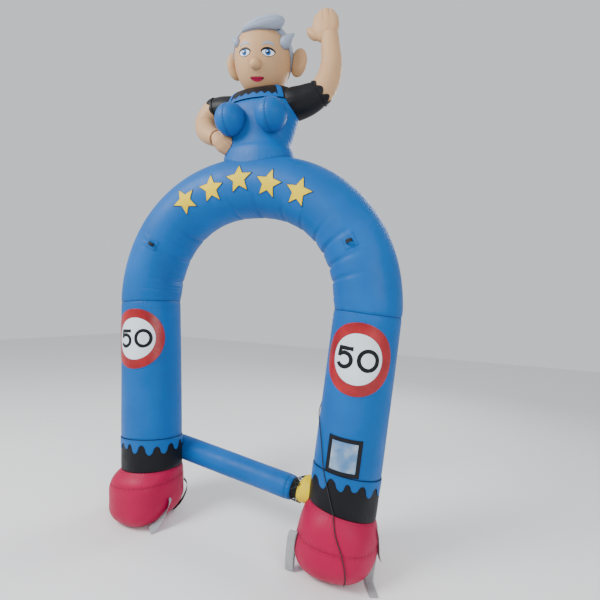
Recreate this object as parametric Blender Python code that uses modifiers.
"""Inflatable arch with a waving half figure on its crown, as closed solids.

Units are metres, +Z is up and the front faces -Y. The arch stands in the XZ plane, and the
origin is on the ground midway between the legs. Left and right are the viewer's, from the front.
Every air-filled panel is one solid that meets its neighbour at the seam, SEAM_GAP apart.
Heights on a leg run along its axis from the ground, and azimuths turn from the front towards +X.
"""
import math

import bmesh
import bpy
import numpy as np
from mathutils import Euler, Vector

SEAM_GAP = 0.0003
# A cutter is this much larger than the piece it leaves room for.
FIT_GAP = 0.0006
TRUNK_GAP = 0.0012
CAP_ANGLE = 40
CLOTH = 0.0015
WEBBING = 0.002
PROUD = 0.0008
HEM_PROUD = 0.0024

TUBE_RADIUS = 0.235
LEG_FLARE = 0.005
FOOT_SPAN = 0.773
SHOULDER_SPAN = 0.918
SHOULDER_Z = 1.74
BOW_RISE = 0.936
BOW_POWER = 0.918
CROWN_THINNING = 0.005
LEG_SEGMENTS = 28
BOW_SEGMENTS = 24
BOW_RINGS = 22

LEAN = math.atan((SHOULDER_SPAN - FOOT_SPAN) / SHOULDER_Z)
LEG_TOP = SHOULDER_Z / math.cos(LEAN)

SIDES = {"left": -1, "right": 1}

# A seam lies in a plane: its height at azimuth a is level + tilt * cos(a - towards).
SEAMS = {
    ("ankle", "left"): {"level": 0.390, "tilt": 0.020, "towards": 0},
    ("ankle", "right"): {"level": 0.390, "tilt": 0.055, "towards": -20},
    ("trim", "left"): {"level": 0.635, "tilt": 0.028, "towards": -10},
    ("trim", "right"): {"level": 0.660, "tilt": 0.040, "towards": -10},
}

# Drips of the trim: azimuth of a tip, its height, azimuth of the notch after it, its height.
DRIPS = {
    "left": [
        (-11, 0.589, -3, 0.630), (8, 0.560, 21, 0.622), (35, 0.541, 48, 0.600),
        (61, 0.535, 75, 0.600), (89, 0.535, 102, 0.596), (115, 0.550, 128, 0.600),
        (141, 0.530, 155, 0.592), (169, 0.548, 182, 0.598), (195, 0.528, 209, 0.590),
        (222, 0.552, 235, 0.602), (248, 0.540, 262, 0.600), (275, 0.562, 288, 0.612),
        (301, 0.556, 312, 0.618), (325, 0.572, 337, 0.626),
    ],
    "right": [
        (-65, 0.572, -47, 0.632), (-28, 0.580, -14, 0.668), (3, 0.606, 12, 0.661),
        (23, 0.615, 36, 0.655), (50, 0.575, 63, 0.627), (78, 0.560, 91, 0.618),
        (104, 0.545, 118, 0.600), (131, 0.540, 145, 0.592), (158, 0.532, 171, 0.590),
        (185, 0.545, 198, 0.596), (211, 0.538, 225, 0.598), (238, 0.560, 251, 0.610),
        (265, 0.582, 280, 0.622),
    ],
}
STEPS_PER_NOTCH = 3
TRIM_LOWEST = 0.524
DRIP_SQUARENESS = 0.6

# Reach of a boot from the leg's axis in four directions, and the rounding of its bottom edge.
BOOT_REACH = {
    "left": {
        "outer": {"reach": 0.290, "rounding": 0.125}, "inner": {"reach": 0.243, "rounding": 0.190},
        "toe": {"reach": 0.318, "rounding": 0.130}, "heel": {"reach": 0.246, "rounding": 0.150},
    },
    "right": {
        "outer": {"reach": 0.276, "rounding": 0.150}, "inner": {"reach": 0.287, "rounding": 0.150},
        "toe": {"reach": 0.322, "rounding": 0.175}, "heel": {"reach": 0.262, "rounding": 0.150},
    },
}
# How far a boot has swelled from the ankle seam to its full reach, by its share of the height.
BOOT_SWELL = {
    "left": [(0.62, 1.0), (0.72, 0.97), (0.81, 0.84), (0.89, 0.60), (0.95, 0.32), (1.0, 0.0)],
    "right": [(0.38, 1.0), (0.52, 0.93), (0.66, 0.81), (0.79, 0.62), (0.90, 0.36), (1.0, 0.0)],
}
BOOT_RISES = (0.0, 0.025, 0.08, 0.16, 0.27, 0.40, 0.52, 0.66, 0.76, 0.85, 0.91, 0.96)
BOOT_FRONT_POWER = 2.5
BOOT_BACK_POWER = 2.1

# Creases pressed into the bow: place along it, depth, width along it, middle azimuth, spread.
CREASES = [
    {"along": 0.075, "depth": 0.010, "width": 0.020, "middle": -100, "spread": 45},
    {"along": 0.160, "depth": 0.012, "width": 0.022, "middle": -84, "spread": 42},
    {"along": 0.256, "depth": 0.013, "width": 0.020, "middle": -86, "spread": 38},
    {"along": 0.455, "depth": 0.010, "width": 0.018, "middle": -78, "spread": 34},
    {"along": 0.532, "depth": 0.011, "width": 0.018, "middle": -74, "spread": 36},
    {"along": 0.622, "depth": 0.010, "width": 0.018, "middle": -80, "spread": 36},
    {"along": 0.694, "depth": 0.011, "width": 0.018, "middle": -80, "spread": 38},
    {"along": 0.762, "depth": 0.012, "width": 0.018, "middle": -72, "spread": 40},
    {"along": 0.812, "depth": 0.016, "width": 0.020, "middle": -66, "spread": 52},
    {"along": 0.866, "depth": 0.015, "width": 0.020, "middle": -64, "spread": 50},
    {"along": 0.912, "depth": 0.012, "width": 0.018, "middle": -62, "spread": 46},
]

SIGN_HEIGHT = 1.45
SIGN_RADIUS = 0.236
SIGN_DISC_RADIUS = 0.166
SIGN_AZIMUTH = {"left": 7, "right": 1}
SIGN_STEPS = 40
RING_PROUD = 0.0018

# Stars on the bow: place along it and azimuth of the middle, and how far the star is turned.
STARS = [
    {"along": 0.328, "azimuth": -9, "turn": 6},
    {"along": 0.412, "azimuth": -10, "turn": -8},
    {"along": 0.493, "azimuth": -2, "turn": 4},
    {"along": 0.575, "azimuth": -9, "turn": -5},
    {"along": 0.660, "azimuth": -8, "turn": 9},
]
STAR_RADIUS = 0.112
STAR_WAIST = 0.46
STAR_CORNERS = 10
STAR_PROUD = 0.0027

# Tether points on the bow.
TETHERS = {
    "left": {"along": 0.170, "azimuth": -14},
    "right": {"along": 0.838, "azimuth": -2},
}
TETHER_PATCH_SIDE = 0.090
TETHER_PROUD = 0.0008
TAB_WIDTH = 0.025
TAB_HALF = 0.020
TAB_STAND = 0.026

WINDOW_LOW = 0.7035
WINDOW_HIGH = 0.944
WINDOW_HALF = 27.5
WINDOW_BORDER = 0.027

SPREADER_LEFT = (-0.663, 0.200, 0.495)
SPREADER_RIGHT = (0.438, 0.030, 0.428)
# Spreader sections: distance along it from its right end, as a share of its length, and radius.
SPREADER = [
    {"share": -1.070, "radius": 0.050}, {"share": -1.060, "radius": 0.082},
    {"share": -1.030, "radius": 0.094}, {"share": -0.850, "radius": 0.095},
    {"share": -0.450, "radius": 0.090}, {"share": -0.120, "radius": 0.088},
    {"share": -0.034, "radius": 0.088}, {"share": -0.010, "radius": 0.084},
    {"share": 0.0, "radius": 0.077},
]
SPREADER_SEGMENTS = 18
# Gathers of the neck, then the patch over the ankle: distance past the right end, radius, lift.
CUFF = [
    {"past": 0.0003, "radius": 0.076, "lift": 0.0}, {"past": 0.010, "radius": 0.070, "lift": 0.001},
    {"past": 0.026, "radius": 0.062, "lift": 0.002}, {"past": 0.046, "radius": 0.060, "lift": 0.004},
]
PATCH = [
    {"past": 0.0463, "radius": 0.061, "lift": 0.004}, {"past": 0.057, "radius": 0.078, "lift": 0.008},
    {"past": 0.078, "radius": 0.091, "lift": 0.022}, {"past": 0.108, "radius": 0.097, "lift": 0.032},
    {"past": 0.240, "radius": 0.097, "lift": 0.040},
]
LACING_STEPS = 16
LACING_RADIUS = 0.003

TIE_RADIUS = 0.00325
TIE_POINTS = 36
TIE_PROUD = 0.0060
# Route of the thin line: first down the right leg by height and azimuth, then over the boot
# by rise and azimuth.
TIE_ON_LEG = [
    (1.105, -100), (1.060, -90), (1.009, -77), (0.950, -55), (0.885, -46), (0.790, -37),
    (0.712, -31), (0.640, -23), (0.530, -11), (0.445, -3),
]
TIE_ON_BOOT = [(0.93, 0), (0.80, 4), (0.62, 12), (0.42, 18), (0.24, 21), (0.10, 22)]

FIGURE_X = 0.0215
# Body sections: height, half width, reach to the front and to the back.
BODY = [
    {"z": 2.700, "half": 0.300, "front": 0.205, "back": 0.200},
    {"z": 2.900, "half": 0.288, "front": 0.198, "back": 0.190},
    {"z": 2.960, "half": 0.262, "front": 0.184, "back": 0.178},
    {"z": 3.010, "half": 0.256, "front": 0.180, "back": 0.174},
    {"z": 3.110, "half": 0.282, "front": 0.188, "back": 0.178},
    {"z": 3.210, "half": 0.308, "front": 0.190, "back": 0.180},
    {"z": 3.290, "half": 0.310, "front": 0.180, "back": 0.174},
    {"z": 3.340, "half": 0.300, "front": 0.163, "back": 0.162},
    {"z": 3.380, "half": 0.284, "front": 0.142, "back": 0.146},
    {"z": 3.412, "half": 0.256, "front": 0.116, "back": 0.124},
    {"z": 3.436, "half": 0.212, "front": 0.084, "back": 0.096},
    {"z": 3.450, "half": 0.160, "front": 0.056, "back": 0.066},
]
BODY_POWER = 2.15
BODY_SEGMENTS = 24
WAISTLINE_Z = 3.290
# The bib's zigzag edge: half its spread in degrees, its height, its fall to the sides, its teeth.
BIB_HALF = 38
BIB_TOP = 3.346
BIB_FALL = 0.020
BIB_NOTCH = 0.024
BIB_TEETH = 7
BIB_PROUD = 0.0014
STRAP_HALF_ANGLE = 4.5
# Dress straps: azimuth at the waistline and at the top, and how far each stands off the shirt;
# the right one crosses the bib.
DRESS_STRAPS = {
    "left": {"low": 43, "high": 47, "proud": 0.0018},
    "right": {"low": 42, "high": 36, "proud": 0.0034},
}

BUST_SPACING = 0.164
BUST_RADIUS = 0.118
BUST_Y = -0.205
BUST_Z = 3.130

# The head bows its face forward, leans to the right and turns towards it.
HEAD_CENTRE = (0.030, -0.050, 3.664)
HEAD_RADII = (0.222, 0.205, 0.235)
HEAD_TILT = (math.radians(19), math.radians(2.5), math.radians(10))
HEAD_JAW = 1.18
NOSE_RADII = (0.044, 0.050, 0.040)
NOSE_AT = (0.0, 0.200, -0.085)
EAR_RADII = (0.070, 0.042, 0.098)
EAR_AT = {"left": (-0.226, -0.020, -0.044), "right": (0.278, -0.020, -0.018)}
HAIR_CAP_RADII = (0.236, 0.222, 0.246)
HAIR_CAP_AT = (0.0, -0.022, 0.012)

# Hair pieces in the head's own frame: place right, front and up, radii, turn, and how pointed.
HAIR = {
    "hair_quiff": {
        "at": (0.030, 0.112, 0.180), "radii": (0.166, 0.078, 0.056), "turn": (-10, -12, 0), "pinch": 0.0,
    },
    "hair_tuft_left": {
        "at": (-0.166, 0.112, 0.076), "radii": (0.036, 0.046, 0.062), "turn": (0, -55, 0), "pinch": 0.6,
    },
    "hair_tuft_right": {
        "at": (0.196, 0.090, 0.086), "radii": (0.046, 0.050, 0.084), "turn": (0, 50, 0), "pinch": 0.6,
    },
}

# Limbs as centre points with a radius; the hem is where the sleeve ends and the bare arm starts.
LIMBS = {
    "right": {
        "hem": 3,
        "points": [
            (0.190, 0.000, 3.285, 0.122), (0.285, 0.000, 3.302, 0.124),
            (0.390, 0.000, 3.322, 0.112), (0.484, 0.000, 3.360, 0.098),
            (0.536, 0.000, 3.425, 0.094), (0.560, 0.000, 3.505, 0.087),
            (0.566, 0.000, 3.600, 0.077), (0.555, 0.000, 3.690, 0.071),
            (0.545, 0.000, 3.790, 0.066),
        ],
    },
    "left": {
        "hem": 2,
        "points": [
            (-0.160, 0.000, 3.318, 0.104), (-0.270, 0.000, 3.330, 0.104),
            (-0.385, 0.000, 3.336, 0.098), (-0.455, 0.000, 3.290, 0.092),
            (-0.474, -0.010, 3.222, 0.090), (-0.440, -0.045, 3.150, 0.084),
            (-0.375, -0.090, 3.092, 0.074), (-0.300, -0.120, 3.045, 0.062),
        ],
    },
}
LIMB_SEGMENTS = 14
HEM_DROP = 0.034
HEM_POINTS = 8

# Hands as a rounded palm and a thumb: centre, radii and turn about Y, then about Z.
HANDS = {
    "right": {
        "palm": {"centre": (0.508, 0.000, 3.876), "radii": (0.104, 0.058, 0.132), "turn": (-9, 0)},
        "thumb": {"centre": (0.412, -0.006, 3.824), "radii": (0.034, 0.034, 0.066), "turn": (-42, 0)},
    },
    "left": {
        "palm": {"centre": (-0.212, -0.132, 2.992), "radii": (0.112, 0.054, 0.082), "turn": (30, 34)},
        "thumb": {"centre": (-0.214, -0.160, 3.055), "radii": (0.032, 0.034, 0.056), "turn": (-20, 0)},
    },
}

# Webbing straps: middle line, the direction of the width at each end, and a point its inner
# face is turned to. Each is cut to the boot it is sewn on.
STRAP_WIDTH = 0.056
STRAPS = {
    "strap_left_grey": {
        "colour": "webbing_grey", "boot": "left", "inside": (-0.75, 0.10, 0.10),
        "across": [(0.30, -0.94, 0.15), (0.62, -0.30, -0.72)],
        "line": [
            (-0.5485, -0.085, 0.207), (-0.540, -0.090, 0.183), (-0.541, -0.102, 0.150),
            (-0.549, -0.128, 0.110), (-0.562, -0.165, 0.070), (-0.578, -0.205, 0.038),
            (-0.594, -0.243, 0.0225),
        ],
    },
    "strap_left_black": {
        "colour": "webbing_black", "boot": "left", "inside": (-0.78, 0.0, 0.15),
        "across": [(-0.60, 0.80, 0.0), (-0.60, 0.80, 0.0)],
        "line": [
            (-0.604, 0.138, 0.262), (-0.590, 0.148, 0.244), (-0.575, 0.160, 0.215),
            (-0.571, 0.163, 0.175), (-0.580, 0.156, 0.125), (-0.602, 0.140, 0.070),
            (-0.630, 0.119, 0.028), (-0.655, 0.100, 0.006),
        ],
    },
    "strap_right_loop": {
        "colour": "webbing_grey", "boot": "right", "inside": (0.513, -0.203, 0.12),
        "across": [(1.0, 0.0, 0.0), (1.0, 0.0, 0.0)],
        "line": [
            (0.526, -0.204, 0.268), (0.517, -0.211, 0.238), (0.513, -0.217, 0.180),
            (0.511, -0.219, 0.120), (0.510, -0.217, 0.060), (0.510, -0.212, 0.020),
            (0.510, -0.203, 0.0065), (0.510, -0.193, 0.018), (0.511, -0.187, 0.060),
            (0.512, -0.185, 0.120), (0.514, -0.186, 0.180), (0.518, -0.191, 0.238),
            (0.526, -0.199, 0.267),
        ],
    },
    "strap_right_tab": {
        "colour": "webbing_grey", "boot": "right", "inside": (0.80, 0.0, 0.20),
        "across": [(0.25, -0.97, 0.0), (0.50, -0.86, 0.0)],
        "line": [
            (1.044, -0.020, 0.325), (1.056, -0.022, 0.285), (1.061, -0.024, 0.240),
            (1.064, -0.026, 0.190), (1.068, -0.030, 0.150), (1.082, -0.036, 0.116),
        ],
    },
    "strap_right_lower": {
        "colour": "webbing_grey", "boot": "right", "inside": (0.90, -0.02, -0.50),
        "across": [(0.92, 0.38, 0.0), (0.92, 0.38, 0.0)],
        "line": [
            (1.030, 0.010, 0.105), (1.026, -0.014, 0.070), (1.020, -0.052, 0.028),
            (1.022, -0.092, 0.008), (1.034, -0.132, 0.0042), (1.052, -0.175, 0.0036),
            (1.070, -0.220, 0.0036),
        ],
    },
}

PART_COLLECTION = "inflatable_arch"
CUTTER_COLLECTION = "cutters"

FINISHES = {
    "nylon_blue": ((0.012, 0.235, 0.660), 0.42),
    "nylon_black": ((0.018, 0.020, 0.028), 0.50),
    "nylon_pink": ((0.600, 0.030, 0.130), 0.45),
    "nylon_skin": ((0.600, 0.420, 0.290), 0.55),
    "nylon_grey": ((0.370, 0.410, 0.480), 0.50),
    "nylon_yellow": ((0.780, 0.620, 0.070), 0.50),
    "print_red": ((0.620, 0.012, 0.030), 0.30),
    "print_white": ((0.750, 0.780, 0.800), 0.30),
    "webbing_grey": ((0.430, 0.450, 0.450), 0.75),
    "webbing_black": ((0.020, 0.020, 0.024), 0.70),
    "clear_film": ((0.700, 0.780, 0.850), 0.10),
    "cord_black": ((0.020, 0.020, 0.022), 0.55),
}


def clear_scene():
    """Remove every object, and make the two collections."""
    for thing in list(bpy.data.objects):
        bpy.data.objects.remove(thing, do_unlink=True)
    for name in (PART_COLLECTION, CUTTER_COLLECTION):
        group = bpy.data.collections.new(name)
        bpy.context.scene.collection.children.link(group)


def finish(name):
    """The Principled material of one finish."""
    material = bpy.data.materials.get(name)
    if material is None:
        colour, roughness = FINISHES[name]
        material = bpy.data.materials.new(name)
        material.use_nodes = True
        shader = material.node_tree.nodes["Principled BSDF"]
        shader.inputs["Base Color"].default_value = (*colour, 1.0)
        shader.inputs["Roughness"].default_value = roughness
        shader.inputs["Metallic"].default_value = 0.0
    return material


def add_part(name, data, material):
    """Put a mesh or curve into the part's collection as one named piece."""
    data.materials.clear()
    data.materials.append(finish(material))
    piece = bpy.data.objects.new(name, data)
    bpy.data.collections[PART_COLLECTION].objects.link(piece)
    return piece


def add_cutter(name, data):
    """Put a mesh into the cutters' collection."""
    cutter = bpy.data.objects.new(name, data)
    cutter.hide_render = True
    cutter.display_type = "WIRE"
    bpy.data.collections[CUTTER_COLLECTION].objects.link(cutter)
    return cutter


def carve(piece, cutter):
    """Cut a piece to the face of its neighbour."""
    modifier = piece.modifiers.new("fit_to_" + cutter.name, "BOOLEAN")
    modifier.operation = "DIFFERENCE"
    modifier.solver = "EXACT"
    modifier.object = cutter


def loft_mesh(name, rings):
    """A closed skin through rings of equal length, with a fan at each end."""
    rings = np.asarray(rings, float)
    shape = bmesh.new()
    rows = [[shape.verts.new(point) for point in ring] for ring in rings]
    columns = len(rows[0])
    for lower, upper in zip(rows[:-1], rows[1:]):
        for i in range(columns):
            j = (i + 1) % columns
            shape.faces.new((lower[i], lower[j], upper[j], upper[i]))
    for row, ring in ((rows[0], rings[0]), (rows[-1], rings[-1])):
        middle = shape.verts.new(ring.mean(axis=0))
        for i in range(columns):
            shape.faces.new((row[i], row[(i + 1) % columns], middle))
    bmesh.ops.recalc_face_normals(shape, faces=shape.faces)
    mesh = bpy.data.meshes.new(name)
    shape.to_mesh(mesh)
    shape.free()
    mesh.shade_smooth()
    mesh.set_sharp_from_angle(angle=math.radians(CAP_ANGLE))
    return mesh


def thicken(name, shape, material, thickness, inside):
    """An open surface as a sheet, given its thickness away from a point inside."""
    shape.normal_update()
    first = next(iter(shape.faces))
    if first.normal.dot(first.calc_center_median() - Vector(inside)) < 0:
        bmesh.ops.reverse_faces(shape, faces=shape.faces)
    mesh = bpy.data.meshes.new(name)
    shape.to_mesh(mesh)
    shape.free()
    mesh.shade_smooth()
    piece = add_part(name, mesh, material)
    wall = piece.modifiers.new("thickness", "SOLIDIFY")
    wall.thickness = thickness
    wall.offset = 1.0
    return piece


def sheet(name, grid, material, thickness, inside, wrap=False, hole=None):
    """A sheet on a grid of points, closed round if it wraps, without the faces in its hole."""
    grid = np.asarray(grid, float)
    shape = bmesh.new()
    rows = [[shape.verts.new(point) for point in row] for row in grid]
    columns = len(rows[0])
    for r in range(len(rows) - 1):
        for c in range(columns if wrap else columns - 1):
            if hole is not None and hole(r, c):
                continue
            d = (c + 1) % columns
            shape.faces.new((rows[r][c], rows[r][d], rows[r + 1][d], rows[r + 1][c]))
    return thicken(name, shape, material, thickness, inside)


def ball_mesh(name, radii, extra=0.0, segments=16, rings=10, pinch=0.0, jaw=1.0):
    """A sphere stretched to three radii, each larger by extra; pinch narrows it towards its top
    and jaw lengthens its lower half."""
    shape = bmesh.new()
    bmesh.ops.create_uvsphere(shape, u_segments=segments, v_segments=rings, radius=1.0)
    for vert in shape.verts:
        keep = 1.0 - pinch * max(vert.co.z, 0.0)
        vert.co.x *= keep
        vert.co.y *= keep
        if vert.co.z < 0.0:
            vert.co.z *= jaw
    bmesh.ops.scale(shape, vec=[radius + extra for radius in radii], verts=shape.verts)
    mesh = bpy.data.meshes.new(name)
    shape.to_mesh(mesh)
    shape.free()
    mesh.shade_smooth()
    return mesh


def place(piece, centre, turn=(0.0, 0.0, 0.0)):
    """Set a piece down by its location and rotation."""
    piece.location = centre
    piece.rotation_euler = turn
    return piece


def leg_radius(height):
    """A leg tapers a little from the ground to its top seam."""
    return TUBE_RADIUS + LEG_FLARE * (1.0 - np.asarray(height) / LEG_TOP)


def leg_point(side, height, azimuth, reach):
    """Points around a leaning leg; azimuth in degrees, reach from the leg's axis."""
    turn = np.radians(azimuth)
    across = np.sin(turn) * reach
    x = side * (FOOT_SPAN + height * math.sin(LEAN)) + across * math.cos(LEAN)
    y = -np.cos(turn) * reach
    z = height * math.cos(LEAN) - side * across * math.sin(LEAN)
    return np.stack(np.broadcast_arrays(x, y, z), axis=-1)


def seam_height(seam, side_name, azimuth):
    """Height of a slanting seam at an azimuth."""
    row = SEAMS[seam, side_name]
    return row["level"] + row["tilt"] * np.cos(np.radians(azimuth - row["towards"]))


def around(count, start=0.0):
    """Evenly spaced azimuths in degrees."""
    return start + np.arange(count) * 360.0 / count


def bow_table():
    """The bow's centre line at fine steps, and the length to each step."""
    turn = np.linspace(math.pi, 0.0, 2001)
    x = SHOULDER_SPAN * np.sign(np.cos(turn)) * np.abs(np.cos(turn)) ** BOW_POWER
    z = SHOULDER_Z + BOW_RISE * np.abs(np.sin(turn)) ** BOW_POWER
    steps = np.hypot(np.diff(x), np.diff(z))
    return x, z, np.concatenate([[0.0], np.cumsum(steps)])


BOW_X, BOW_Z, BOW_RUN = bow_table()
BOW_LENGTH = BOW_RUN[-1]


def bow_radius(along):
    """The bow is fullest just above its end seams and slimmer at the crown."""
    along = np.asarray(along, float)
    swell = 0.003 * np.clip(np.minimum(along, 1.0 - along) / 0.03, 0.0, 1.0)
    return TUBE_RADIUS + swell - CROWN_THINNING * np.sin(np.pi * along) ** 2


def bow_point(along, azimuth, reach):
    """Points around the bow; azimuth in degrees from the front towards the outer side."""
    run = np.asarray(along, float) * BOW_LENGTH
    step = 0.002
    x = np.interp(run, BOW_RUN, BOW_X)
    z = np.interp(run, BOW_RUN, BOW_Z)
    ahead = np.minimum(run + step, BOW_LENGTH)
    behind = np.maximum(run - step, 0.0)
    dx = np.interp(ahead, BOW_RUN, BOW_X) - np.interp(behind, BOW_RUN, BOW_X)
    dz = np.interp(ahead, BOW_RUN, BOW_Z) - np.interp(behind, BOW_RUN, BOW_Z)
    size = np.hypot(dx, dz)
    turn = np.radians(azimuth)
    out = np.sin(turn) * reach
    return np.stack(
        np.broadcast_arrays(x - dz / size * out, -np.cos(turn) * reach, z + dx / size * out), axis=-1
    )


def crease_depth(along, azimuth):
    """How far the creases press the bow in, as soft troughs along it and around it."""
    total = 0.0
    for row in CREASES:
        away = (along - row["along"]) * BOW_LENGTH / row["width"]
        turned = (azimuth - row["middle"] + 180.0) % 360.0 - 180.0
        total = total + row["depth"] * np.exp(-(away**2)) * np.exp(-((turned / row["spread"]) ** 2))
    return total


def bow_places():
    """Places of the bow's rings: even ones, and three at each crease."""
    even = np.linspace(0.0, 1.0, BOW_RINGS + 1)[1:-1]
    marks = []
    for row in CREASES:
        width = row["width"] / BOW_LENGTH
        marks += [row["along"] - 1.3 * width, row["along"], row["along"] + 1.3 * width]
    marks = np.array(marks)
    clear = [place for place in even if np.abs(marks - place).min() > 0.011]
    return np.sort(np.concatenate([clear, marks]))


def bow_rings(extra, first=0.0, last=1.0):
    """Rings of the bow between two places; a ring at either end lies on the leg's top seam."""
    azimuths = around(BOW_SEGMENTS)
    rings = []
    end_height = LEG_TOP + SEAM_GAP
    if first == 0.0:
        rings.append(leg_point(-1, end_height, -azimuths, TUBE_RADIUS + extra))
    for along in bow_places():
        if first < along < last:
            reach = bow_radius(along) - crease_depth(along, azimuths) + extra
            rings.append(bow_point(along, azimuths, reach))
    if last == 1.0:
        rings.append(leg_point(1, end_height, azimuths, TUBE_RADIUS + extra))
    return rings


def leg_rings(side_name, extra, bottom, top, count, segments=LEG_SEGMENTS):
    """Rings of a leg between two heights, each a number or a function of azimuth."""
    azimuths = around(segments)
    low = bottom(azimuths) if callable(bottom) else bottom
    high = top(azimuths) if callable(top) else top
    rings = []
    for share in np.linspace(0.0, 1.0, count):
        height = low + (high - low) * share
        rings.append(leg_point(SIDES[side_name], height, azimuths, leg_radius(height) + extra))
    return rings


def boot_reach(side_name, direction, swell, height):
    """Reach of a boot in one direction, swollen above and rounded in below."""
    row = BOOT_REACH[side_name][direction]
    full = TUBE_RADIUS + LEG_FLARE + (row["reach"] - TUBE_RADIUS - LEG_FLARE) * swell
    under = np.clip(1.0 - height / row["rounding"], 0.0, 1.0)
    return full - row["rounding"] * (1.0 - np.sqrt(1.0 - under**2))


def boot_point(side_name, rise, azimuth, extra=0.0):
    """Points on a boot by rise, a share of the ankle seam's height, and azimuth."""
    side = SIDES[side_name]
    turn = np.radians(np.asarray(azimuth, float))
    shares, swells = zip(*BOOT_SWELL[side_name])
    swell = np.interp(rise, shares, swells)
    height = rise * seam_height("ankle", side_name, azimuth)
    front = np.cos(turn) > 0.0
    power = 2.0 + (np.where(front, BOOT_FRONT_POWER, BOOT_BACK_POWER) - 2.0) * swell
    wide = np.sign(np.sin(turn)) * np.abs(np.sin(turn)) ** (2.0 / power)
    long = np.sign(np.cos(turn)) * np.abs(np.cos(turn)) ** (2.0 / power)
    reach = {way: boot_reach(side_name, way, swell, height) + extra for way in BOOT_REACH[side_name]}
    across = np.where(np.sin(turn) * side > 0.0, reach["outer"], reach["inner"]) * wide
    y = -np.where(front, reach["toe"], reach["heel"]) * long
    x = side * (FOOT_SPAN + height * math.sin(LEAN)) + across * math.cos(LEAN)
    z = height * math.cos(LEAN) - rise * side * across * math.sin(LEAN)
    return np.stack(np.broadcast_arrays(x, y, z), axis=-1)


def boot_rings(side_name, extra=0.0):
    """Rings of a boot from its sole to the ankle seam."""
    azimuths = around(LEG_SEGMENTS)
    rings = [boot_point(side_name, rise, azimuths, extra) for rise in BOOT_RISES]
    seam = seam_height("ankle", side_name, azimuths)
    rings.append(leg_point(SIDES[side_name], seam, azimuths, leg_radius(seam) + extra))
    return rings


def build_bow():
    add_part("bow", loft_mesh("bow", bow_rings(0.0)), "nylon_blue")


def build_legs():
    for name in SIDES:
        def trim_seam(azimuth, name=name):
            return seam_height("trim", name, azimuth) + SEAM_GAP

        def band_top(azimuth, name=name):
            return seam_height("trim", name, azimuth)

        def band_bottom(azimuth, name=name):
            return seam_height("ankle", name, azimuth) + SEAM_GAP

        tube = leg_rings(name, 0.0, trim_seam, LEG_TOP, 6)
        add_part("leg_" + name, loft_mesh("leg_" + name, tube), "nylon_blue")
        band = leg_rings(name, 0.0, band_bottom, band_top, 2)
        add_part("band_" + name, loft_mesh("band_" + name, band), "nylon_black")


def drip_edge(side_name):
    """Azimuths and heights along the dripping lower edge of a trim, once round the leg."""
    marks = []
    for tip_azimuth, tip, notch_azimuth, notch in DRIPS[side_name]:
        marks += [(tip_azimuth, tip), (notch_azimuth, notch)]
    first_azimuth, first_height = marks[0]
    marks.append((first_azimuth + 360.0, first_height))
    azimuths, heights = [], []
    for (a0, h0), (a1, h1) in zip(marks[:-1], marks[1:]):
        for step in range(STEPS_PER_NOTCH):
            share = step / STEPS_PER_NOTCH
            swing = math.cos(math.pi * share)
            bend = 0.5 - 0.5 * math.copysign(abs(swing) ** DRIP_SQUARENESS, swing)
            azimuths.append(a0 + (a1 - a0) * share)
            heights.append(h0 + (h1 - h0) * bend)
    return np.array(azimuths), np.array(heights)


def build_drip_trims():
    for name, side in SIDES.items():
        azimuths, edge = drip_edge(name)
        top = seam_height("trim", name, azimuths) - 0.001
        rows = [leg_point(side, height, azimuths, leg_radius(height) + PROUD) for height in (edge, top)]
        inside = leg_point(side, 0.6, 0.0, 0.0)
        sheet("drip_trim_" + name, rows, "nylon_blue", CLOTH, inside, wrap=True)


def build_boots():
    for name in SIDES:
        add_part("foot_" + name, loft_mesh("foot_" + name, boot_rings(name)), "nylon_pink")


def build_spreader():
    """A slim tube, tied to the back of the left ankle and laced to the right one."""
    start = np.array(SPREADER_LEFT)
    end = np.array(SPREADER_RIGHT)
    length = np.linalg.norm(end - start)
    along = (end - start) / length
    side = np.cross(along, (0.0, 0.0, 1.0))
    side /= np.linalg.norm(side)
    up = np.cross(side, along)
    turn = np.radians(around(SPREADER_SEGMENTS))[:, None]

    def ring(distance, radius, lift=0.0):
        middle = end + along * distance + up * lift
        return middle + radius * (np.cos(turn) * side + np.sin(turn) * up)

    tube = [ring(row["share"] * length, row["radius"]) for row in SPREADER]
    spreader = add_part("spreader", loft_mesh("spreader", tube), "nylon_blue")
    ankle = leg_rings("left", FIT_GAP, 0.25, 0.95, 3)
    carve(spreader, add_cutter("left_ankle", loft_mesh("left_ankle", ankle)))
    trim = leg_rings("left", PROUD + CLOTH + FIT_GAP, TRIM_LOWEST, 0.95, 2, 3 * LEG_SEGMENTS)
    carve(spreader, add_cutter("left_trim", loft_mesh("left_trim", trim)))

    gathers = [ring(row["past"], row["radius"], row["lift"]) for row in CUFF]
    add_part("spreader_cuff", loft_mesh("spreader_cuff", gathers), "nylon_black")

    dome = [ring(row["past"], row["radius"], row["lift"]) for row in PATCH]
    patch = add_part("spreader_patch", loft_mesh("spreader_patch", dome), "nylon_yellow")
    ankle = leg_rings("right", FIT_GAP, 0.05, 0.95, 3)
    carve(patch, add_cutter("right_ankle", loft_mesh("right_ankle", ankle)))
    carve(patch, add_cutter("right_boot", loft_mesh("right_boot", boot_rings("right", FIT_GAP))))

    lace = []
    for step in range(LACING_STEPS):
        angle = math.radians(20 + step * 330.0 / LACING_STEPS)
        on = PATCH[2] if step % 2 else CUFF[1]
        radius = on["radius"] + 0.0045
        middle = end + along * on["past"] + up * on["lift"]
        lace.append(middle + radius * (math.cos(angle) * side + math.sin(angle) * up))
    cord("spreader_lacing", lace, LACING_RADIUS, "cord_black")


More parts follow.
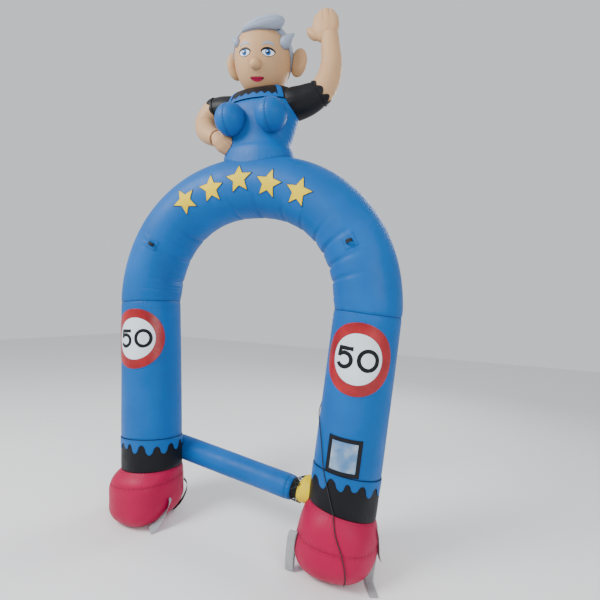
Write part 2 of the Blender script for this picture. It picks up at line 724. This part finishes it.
def cord(name, points, radius, material):
    """A round cord through points, with filled caps."""
    curve = bpy.data.curves.new(name, "CURVE")
    curve.dimensions = "3D"
    curve.bevel_depth = radius
    curve.bevel_resolution = 2
    curve.use_fill_caps = True
    spline = curve.splines.new("POLY")
    spline.points.add(len(points) - 1)
    for point, (x, y, z) in zip(spline.points, points):
        point.co = (x, y, z, 1.0)
    return add_part(name, curve, material)


def smooth_path(points, count):
    """A smooth curve through the points, read at even distances."""
    points = np.asarray(points, float)
    padded = np.vstack([2 * points[0] - points[1], points, 2 * points[-1] - points[-2]])
    fine = []
    for i in range(1, len(padded) - 2):
        p0, p1, p2, p3 = padded[i - 1 : i + 3]
        for t in np.linspace(0.0, 1.0, 12, endpoint=False):
            fine.append(
                0.5 * (2 * p1 + (p2 - p0) * t + (2 * p0 - 5 * p1 + 4 * p2 - p3) * t**2
                       + (3 * p1 - p0 - 3 * p2 + p3) * t**3)
            )
    fine.append(points[-1])
    fine = np.array(fine)
    run = np.concatenate([[0.0], np.cumsum(np.linalg.norm(np.diff(fine[:, :3], axis=0), axis=1))])
    even = np.linspace(0.0, run[-1], count)
    return np.stack([np.interp(even, run, fine[:, k]) for k in range(points.shape[1])], axis=1)


def build_tie_line():
    """The thin black line that lies down the right leg and over the boot to its sole seam."""
    route = [leg_point(1, h, a, leg_radius(h) + TIE_PROUD) for h, a in TIE_ON_LEG]
    route += [boot_point("right", rise, a, TIE_PROUD) for rise, a in TIE_ON_BOOT]
    cord("tie_line", smooth_path(route, TIE_POINTS), TIE_RADIUS, "cord_black")
    height, azimuth = TIE_ON_LEG[0]
    azimuths = np.linspace(azimuth - 9, azimuth + 5, 5)
    rows = [leg_point(1, h, azimuths, leg_radius(h) + PROUD) for h in (height - 0.02, height + 0.05)]
    sheet("tie_line_patch", rows, "nylon_black", CLOTH, leg_point(1, height, 0.0, 0.0))


def round_on_leg(side, distance, angle, reach_out):
    """Points of a circle laid on a leg around the sign's middle."""
    azimuth_middle = SIGN_AZIMUTH["left" if side < 0 else "right"]
    height = SIGN_HEIGHT + distance * np.sin(angle)
    azimuth = azimuth_middle + np.degrees(distance * np.cos(angle) / TUBE_RADIUS)
    return leg_point(side, height, azimuth, leg_radius(height) + reach_out)


def build_signs():
    angles = np.arange(SIGN_STEPS) * 2.0 * math.pi / SIGN_STEPS
    for name, side in SIDES.items():
        inside = leg_point(side, SIGN_HEIGHT, 0.0, 0.0)
        spans = np.linspace(SIGN_DISC_RADIUS, SIGN_RADIUS, 3)
        rows = [round_on_leg(side, span, angles, RING_PROUD) for span in spans]
        sheet("sign_ring_" + name, rows, "print_red", CLOTH, inside, wrap=True)
        radius = SIGN_DISC_RADIUS - 0.0008
        across = np.linspace(-0.9995, 0.9995, 19) * math.pi / 2
        offset = radius * np.sin(across)
        rise = radius * np.cos(across)
        azimuths = SIGN_AZIMUTH[name] + np.degrees(offset / TUBE_RADIUS)
        rows = []
        for sign in (-1.0, 1.0):
            height = SIGN_HEIGHT + sign * rise
            rows.append(leg_point(side, height, azimuths, leg_radius(height) + PROUD))
        sheet("sign_disc_" + name, rows, "print_white", CLOTH, inside)


def build_window():
    """A clear film in a black border on the right leg."""
    border = math.degrees(WINDOW_BORDER / TUBE_RADIUS)
    inner = WINDOW_HALF - border
    azimuths = np.concatenate([[-WINDOW_HALF], np.linspace(-inner, inner, 7), [WINDOW_HALF]])
    low = WINDOW_LOW + WINDOW_BORDER
    high = WINDOW_HIGH - WINDOW_BORDER
    heights = (WINDOW_LOW, low, high, WINDOW_HIGH)
    inside = leg_point(1, 0.8, 0.0, 0.0)
    rows = [leg_point(1, h, azimuths, leg_radius(h) + PROUD + 0.0003) for h in heights]

    def opening(row, column):
        return row == 1 and 1 <= column <= len(azimuths) - 3

    sheet("window_frame", rows, "nylon_black", CLOTH, inside, hole=opening)
    edge = math.degrees(SEAM_GAP / TUBE_RADIUS)
    film = np.linspace(-inner + edge, inner - edge, 7)
    rows = [leg_point(1, h, film, leg_radius(h) + PROUD) for h in (low + SEAM_GAP, high - SEAM_GAP)]
    sheet("window_film", rows, "clear_film", 0.001, inside)


def star_outline(turn):
    """A star's corners and the middles of its edges, as distances right and up of its centre."""
    corners = np.arange(STAR_CORNERS)
    angles = np.radians(90.0 + turn + corners * 360.0 / STAR_CORNERS)
    reach = STAR_RADIUS * np.where(corners % 2, STAR_WAIST, 1.0)
    points = np.stack([reach * np.cos(angles), reach * np.sin(angles)], axis=1)
    middles = (points + np.roll(points, -1, axis=0)) / 2
    return np.stack([points, middles], axis=1).reshape(-1, 2).T


def build_stars():
    """Five plain stars in an arc over the bow."""
    for number, row in enumerate(STARS, start=1):
        right, up = star_outline(row["turn"])
        rows = [on_bow(row["along"], row["azimuth"], share * right, share * up, STAR_PROUD)
                for share in (0.0, 0.5, 1.0)]
        shape = bmesh.new()
        centre = shape.verts.new(rows[0][0])
        inner = [shape.verts.new(point) for point in rows[1]]
        outer = [shape.verts.new(point) for point in rows[2]]
        for i in range(len(outer)):
            j = (i + 1) % len(outer)
            shape.faces.new((centre, inner[i], inner[j]))
            shape.faces.new((inner[i], outer[i], outer[j], inner[j]))
        inside = bow_point(row["along"], 0.0, 0.0)
        thicken("star_%d" % number, shape, "nylon_yellow", CLOTH, inside)


def on_bow(along, azimuth, right, up, reach_out):
    """Points on the bow at distances right and up from a place on its front."""
    places = along + right / BOW_LENGTH
    azimuths = azimuth + np.degrees(up / TUBE_RADIUS)
    return bow_point(places, azimuths, bow_radius(places) + reach_out)


def build_tethers():
    """Square patches with a standing webbing loop on the bow's front."""
    half = TETHER_PATCH_SIDE / 2
    for name, row in TETHERS.items():
        across = np.linspace(-half, half, 5)
        rows = [on_bow(row["along"], row["azimuth"], across, up, TETHER_PROUD)
                for up in np.linspace(-half, half, 5)]
        inside = bow_point(row["along"], 0.0, 0.0)
        sheet("tether_patch_" + name, rows, "nylon_blue", CLOTH, inside)
        arc = np.radians(np.linspace(0, 180, 9))
        loop = []
        for side in (-TAB_WIDTH / 2, TAB_WIDTH / 2):
            lift = TETHER_PROUD + CLOTH + SEAM_GAP + TAB_STAND * np.sin(arc)
            height = TAB_HALF * np.cos(arc)
            places = row["along"] + side / BOW_LENGTH
            azimuths = row["azimuth"] + np.degrees(height / TUBE_RADIUS)
            loop.append(bow_point(places, azimuths, bow_radius(places) + lift))
        middle = bow_point(row["along"], row["azimuth"], TUBE_RADIUS + 0.008)
        sheet("tether_tab_" + name, loop, "webbing_black", WEBBING, middle)


def build_straps():
    """Flat webbing bands, each cut to the boot it is sewn on."""
    for name, row in STRAPS.items():
        line = np.array(row["line"])
        first, last = np.array(row["across"])
        side = first + (last - first) * np.linspace(0.0, 1.0, len(line))[:, None]
        side = side / np.linalg.norm(side, axis=1, keepdims=True) * STRAP_WIDTH / 2
        strap = sheet(name, [line - side, line + side], row["colour"], WEBBING, row["inside"])
        boot = loft_mesh(name + "_boot", boot_rings(row["boot"], FIT_GAP))
        carve(strap, add_cutter(name + "_boot", boot))


def body_point(z, azimuth, extra=0.0):
    """Points on the figure's body by height and azimuth."""
    heights = [row["z"] for row in BODY]
    half = np.interp(z, heights, [row["half"] for row in BODY])
    front = np.interp(z, heights, [row["front"] for row in BODY])
    back = np.interp(z, heights, [row["back"] for row in BODY])
    turn = np.radians(azimuth)
    wide = np.sign(np.sin(turn)) * np.abs(np.sin(turn)) ** (2.0 / BODY_POWER)
    deep = np.sign(np.cos(turn)) * np.abs(np.cos(turn)) ** (2.0 / BODY_POWER)
    x = FIGURE_X + (half + extra) * wide
    y = -np.where(deep > 0, front + extra, back + extra) * deep
    return np.stack(np.broadcast_arrays(x, y, np.asarray(z, float) + 0 * x), axis=-1)


def build_body():
    """Dress below, shirt above, cut to the bow and to the head."""
    azimuths = around(BODY_SEGMENTS)
    dress_rows = [row["z"] for row in BODY if row["z"] <= WAISTLINE_Z]
    lower = loft_mesh("dress", [body_point(z, azimuths) for z in dress_rows])
    dress = add_part("dress", lower, "nylon_blue")
    crown = loft_mesh("crown", bow_rings(FIT_GAP, 0.30, 0.70))
    carve(dress, add_cutter("crown", crown))
    shirt_rows = [WAISTLINE_Z + SEAM_GAP] + [row["z"] for row in BODY if row["z"] > WAISTLINE_Z]
    upper = loft_mesh("shirt", [body_point(z, azimuths) for z in shirt_rows])
    shirt = add_part("shirt", upper, "nylon_black")
    head = add_cutter("head_space", ball_mesh("head_space", HEAD_RADII, FIT_GAP, 20, 14, 0.0, HEAD_JAW))
    place(head, HEAD_CENTRE, HEAD_TILT)
    carve(shirt, head)
    trunk = loft_mesh("trunk", [body_point(row["z"], azimuths, TRUNK_GAP) for row in BODY])
    return add_cutter("trunk", trunk), head


def build_bib():
    """The zigzag top of the dress, and its two shoulder straps, over the shirt."""
    azimuths = np.linspace(-BIB_HALF, BIB_HALF, 4 * BIB_TEETH + 1)
    teeth = np.abs(((azimuths / BIB_HALF + 1) / 2 * BIB_TEETH) % 1.0 - 0.5) * 2.0
    edge = BIB_TOP - BIB_FALL * (azimuths / BIB_HALF) ** 2 - BIB_NOTCH * teeth
    foot = WAISTLINE_Z + 0.002
    rows = [body_point(foot + (edge - foot) * share, azimuths, BIB_PROUD) for share in (0.0, 0.5, 1.0)]
    inside = (FIGURE_X, 0.0, 3.33)
    sheet("dress_bib", rows, "nylon_blue", CLOTH, inside)
    heights = np.array([3.293, 3.315, 3.340, 3.360, 3.380, 3.396, 3.412, 3.424, 3.436])
    for name, row in DRESS_STRAPS.items():
        middle = SIDES[name] * np.interp(heights, [heights[0], heights[-1]], [row["low"], row["high"]])
        rows = [body_point(heights, middle + way * STRAP_HALF_ANGLE, row["proud"]) for way in (-1, 0, 1)]
        sheet("dress_strap_" + name, rows, "nylon_blue", CLOTH, inside)


def build_bust(trunk):
    radii = (BUST_RADIUS, BUST_RADIUS, BUST_RADIUS)
    turn = (math.radians(70), 0.0, 0.0)
    for name, side in SIDES.items():
        at = (FIGURE_X + 0.009 + side * BUST_SPACING, BUST_Y, BUST_Z)
        ball = add_part("bust_" + name, ball_mesh("bust_" + name, radii, 0.0, 16, 9), "nylon_blue")
        carve(place(ball, at, turn), trunk)
        if name == "left":
            space = add_cutter("bust_space", ball_mesh("bust_space", radii, FIT_GAP, 16, 9))
            place(space, at, turn)
    return space


def limb_point(name, share, azimuth, extra=0.0):
    """Points around a limb; share runs from the shoulder to the wrist by its own points."""
    points = np.array(LIMBS[name]["points"])
    path = smooth_path(points, 161)
    run = np.linspace(0.0, 1.0, len(path))
    here = np.array([np.interp(share, run, path[:, k]) for k in range(4)])
    ahead = np.array([np.interp(min(share + 0.01, 1.0), run, path[:, k]) for k in range(3)])
    behind = np.array([np.interp(max(share - 0.01, 0.0), run, path[:, k]) for k in range(3)])
    along = (ahead - behind) / np.linalg.norm(ahead - behind)
    front = np.array([0.0, -1.0, 0.0])
    front = front - along * front.dot(along)
    front /= np.linalg.norm(front)
    over = np.cross(front, along)
    turn = np.radians(azimuth)
    radius = here[3] + extra
    return here[:3] + radius * (np.cos(turn)[:, None] * front + np.sin(turn)[:, None] * over)


def hem_share(name):
    """Where along a limb its sleeve ends, as a share of the limb's length."""
    points = np.array(LIMBS[name]["points"])[:, :3]
    run = np.concatenate([[0.0], np.cumsum(np.linalg.norm(np.diff(points, axis=0), axis=1))])
    return run[LIMBS[name]["hem"]] / run[-1], run[-1]


def build_limbs(trunk, bust):
    azimuths = around(LIMB_SEGMENTS)
    for name in SIDES:
        hem, length = hem_share(name)
        gap = SEAM_GAP / length
        shoulder = [limb_point(name, share, azimuths) for share in np.linspace(0.0, hem, 6)]
        sleeve = add_part("sleeve_" + name, loft_mesh("sleeve_" + name, shoulder), "nylon_black")
        carve(sleeve, trunk)
        bare = [limb_point(name, share, azimuths) for share in np.linspace(hem + gap, 1.0, 10)]
        arm = add_part("arm_" + name, loft_mesh("arm_" + name, bare), "nylon_skin")

        palm = HANDS[name]["palm"]
        turn = (0.0, math.radians(palm["turn"][0]), math.radians(palm["turn"][1]))
        room = ball_mesh("palm_space_" + name, palm["radii"], FIT_GAP, 16, 9)
        space = add_cutter("palm_space_" + name, room)
        carve(arm, place(space, palm["centre"], turn))
        hand = add_part("hand_" + name, ball_mesh("hand_" + name, palm["radii"], 0.0, 16, 9), "nylon_skin")
        place(hand, palm["centre"], turn)
        thumb = HANDS[name]["thumb"]
        turn = (0.0, math.radians(thumb["turn"][0]), math.radians(thumb["turn"][1]))
        digit = add_cutter("thumb_" + name, ball_mesh("thumb_" + name, thumb["radii"], 0.0, 10, 6))
        join = hand.modifiers.new("thumb", "BOOLEAN")
        join.operation = "UNION"
        join.solver = "EXACT"
        join.object = place(digit, thumb["centre"], turn)
        if name == "left":
            for piece in (hand, arm):
                carve(piece, bust)
                carve(piece, trunk)

        columns = np.linspace(0.0, 360.0, HEM_POINTS * 4, endpoint=False)
        scallop = np.abs(np.sin(np.radians(columns) * HEM_POINTS / 2.0))
        drop = HEM_DROP * (0.35 + 0.65 * scallop)
        start = hem + (SEAM_GAP + 0.0006) / length
        edges = []
        for distance in (0.0, 1.0):
            points = [limb_point(name, start + distance * d / length, np.array([a]), HEM_PROUD)[0]
                      for a, d in zip(columns, drop)]
            edges.append(points)
        middle = limb_point(name, start, np.array([0.0]), -LIMBS[name]["points"][LIMBS[name]["hem"]][3])[0]
        sheet("sleeve_hem_" + name, edges, "nylon_black", CLOTH, middle, wrap=True)


def head_place(right, front, up):
    """A point given from the head's middle, turned with the head."""
    return Vector(HEAD_CENTRE) + Euler(HEAD_TILT).to_matrix() @ Vector((right, -front, up))


def head_turn(x=0.0, y=0.0, z=0.0):
    """The head's rotation after a turn of a piece's own, in degrees."""
    own = Euler((math.radians(x), math.radians(y), math.radians(z))).to_matrix()
    return (Euler(HEAD_TILT).to_matrix() @ own).to_euler()


def build_head(head_space):
    head = add_part("head", ball_mesh("head", HEAD_RADII, 0.0, 20, 14, 0.0, HEAD_JAW), "nylon_skin")
    place(head, HEAD_CENTRE, HEAD_TILT)
    nose = add_part("nose", ball_mesh("nose", NOSE_RADII, 0.0, 12, 7), "nylon_skin")
    place(nose, head_place(*NOSE_AT), HEAD_TILT)
    carve(nose, head_space)
    ears = {}
    for name, side in SIDES.items():
        centre = head_place(*EAR_AT[name])
        tilt = head_turn(0.0, side * 12, -side * 20)
        ear = add_part("ear_" + name, ball_mesh("ear_" + name, EAR_RADII, 0.0, 14, 8), "nylon_skin")
        carve(place(ear, centre, tilt), head_space)
        space = add_cutter("ear_space_" + name, ball_mesh("ear_space_" + name, EAR_RADII, FIT_GAP, 14, 8))
        ears[name] = place(space, centre, tilt)
    return ears


def build_hair(head_space, ears):
    """A cap over the back of the head, a swept quiff and a pointed tuft on each side."""
    shape = bmesh.new()
    bmesh.ops.create_uvsphere(shape, u_segments=14, v_segments=9, radius=1.0)
    bmesh.ops.scale(shape, vec=HAIR_CAP_RADII, verts=shape.verts)
    geometry = shape.verts[:] + shape.edges[:] + shape.faces[:]
    cut = bmesh.ops.bisect_plane(shape, geom=geometry, dist=0.0001, plane_co=(0.0, -0.070, 0.030),
                                 plane_no=(0.0, -1.0, -0.55), clear_outer=True)
    rim = [item for item in cut["geom_cut"] if isinstance(item, bmesh.types.BMEdge)]
    bmesh.ops.contextual_create(shape, geom=rim)
    bmesh.ops.recalc_face_normals(shape, faces=shape.faces)
    mesh = bpy.data.meshes.new("hair_cap")
    shape.to_mesh(mesh)
    shape.free()
    mesh.shade_smooth()
    mesh.set_sharp_from_angle(angle=math.radians(CAP_ANGLE))
    cap = place(add_part("hair_cap", mesh, "nylon_grey"), head_place(*HAIR_CAP_AT), HEAD_TILT)
    carve(cap, head_space)
    for ear in ears.values():
        carve(cap, ear)
    quiff_space = None
    for name, row in HAIR.items():
        at = head_place(*row["at"])
        turn = head_turn(*row["turn"])
        piece = add_part(name, ball_mesh(name, row["radii"], 0.0, 16, 9, row["pinch"]), "nylon_grey")
        carve(place(piece, at, turn), head_space)
        room = ball_mesh(name + "_space", row["radii"], FIT_GAP, 16, 9, row["pinch"])
        space = add_cutter(name + "_space", room)
        carve(cap, place(space, at, turn))
        if quiff_space is None:
            quiff_space = space
        else:
            carve(piece, quiff_space)


def main():
    clear_scene()
    build_bow()
    build_legs()
    build_drip_trims()
    build_boots()
    build_spreader()
    build_signs()
    build_window()
    build_stars()
    build_tethers()
    build_straps()
    build_tie_line()
    trunk, head_space = build_body()
    build_bib()
    bust = build_bust(trunk)
    build_limbs(trunk, bust)
    ears = build_head(head_space)
    build_hair(head_space, ears)


main()
